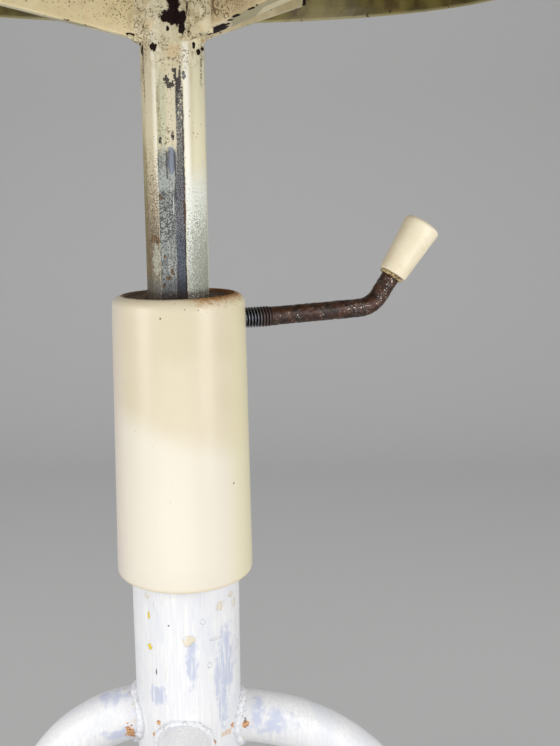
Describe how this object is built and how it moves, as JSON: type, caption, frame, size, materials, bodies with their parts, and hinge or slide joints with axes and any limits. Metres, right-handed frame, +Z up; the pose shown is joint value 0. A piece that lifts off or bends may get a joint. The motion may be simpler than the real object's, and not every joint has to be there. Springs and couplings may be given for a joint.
{
  "type": "pedestal stand",
  "caption": "Height-adjustable pedestal stand: round pressed top on a telescoping post, clamped in a sleeved column on bent tube legs.",
  "frame": {"origin": "column axis at floor level, midway between the feet", "axes": "+Z up the column; +X roughly towards the side the clamp screw leaves on; the four legs lie within a few degrees of the X and Y axes"},
  "size_m": [0.4227, 0.4235, 0.6176],
  "materials": {
    "white_paint": "brushed white paint over steel tube, with drips and rust at the welds",
    "cream_plastic": "glossy cream moulded plastic",
    "cream_paint": "aged cream enamel on steel, chipped to dark metal",
    "knob_plastic": "satin cream moulded plastic",
    "rusty_steel": "dark rusted steel",
    "bare_steel": "zinc plated",
    "brass": "turned",
    "nylon": "moulded",
    "black_rubber": "matt rubber",
    "black_plastic": "matt moulded"
  },
  "bodies": {
    "base": {"column_tube": "white_paint", "column_end_plug": "black_plastic", "leg_right": "white_paint", "leg_back": "white_paint", "leg_left": "white_paint", "leg_front": "white_paint", "foot_ferrule_right": "black_rubber", "foot_ferrule_back": "black_rubber", "foot_ferrule_left": "black_rubber", "foot_ferrule_front": "black_rubber", "foot_washer_right": "bare_steel", "foot_washer_back": "bare_steel", "foot_washer_left": "bare_steel", "foot_washer_front": "bare_steel", "sleeve_cover": "cream_plastic", "sleeve_spacer": "black_plastic", "guide_bush": "rusty_steel", "bush_lock_screw_1": "bare_steel", "bush_lock_screw_2": "bare_steel"},
    "slider": {"post_guide_shoe": "nylon"},
    "top": {"post_tube": "cream_paint", "post_top_plug": "cream_paint", "shoe_collar": "bare_steel", "shoe_clip": "bare_steel", "arm_left": "cream_paint", "arm_back": "cream_paint", "arm_front": "cream_paint", "top_pan": "cream_paint", "top_screw_left": "bare_steel", "top_screw_back": "bare_steel", "top_screw_front": "bare_steel"},
    "pad": {"clamp_pad": "brass"},
    "clamp": {"clamp_screw": "rusty_steel", "clamp_knob": "knob_plastic", "knob_ferrule": "rusty_steel"}
  },
  "joints": [
    {"name": "height_slide", "type": "slide", "parent": "base", "child": "slider", "axis": [0, 0, 1], "range_m": [-0.09, 0.125]},
    {"name": "top_swivel", "type": "hinge", "parent": "slider", "child": "top", "pos_m": [0, 0, 0.259], "axis": [0, 0, 1], "continuous": true},
    {"name": "pad_feed", "type": "slide", "parent": "base", "child": "pad", "axis": [0.9537, 0.3007, 0], "range_m": [-0.0012, 0.0045]},
    {"name": "clamp_turn", "type": "hinge", "parent": "pad", "child": "clamp", "pos_m": [0.05, 0.01577, 0.445], "axis": [0.9537, 0.3007, 0], "range_deg": [-280, 1070]}
  ],
  "couplings": [
    {"joint": "pad_feed", "follows": "clamp_turn", "m_per_rad": 0.00023873}
  ]
}
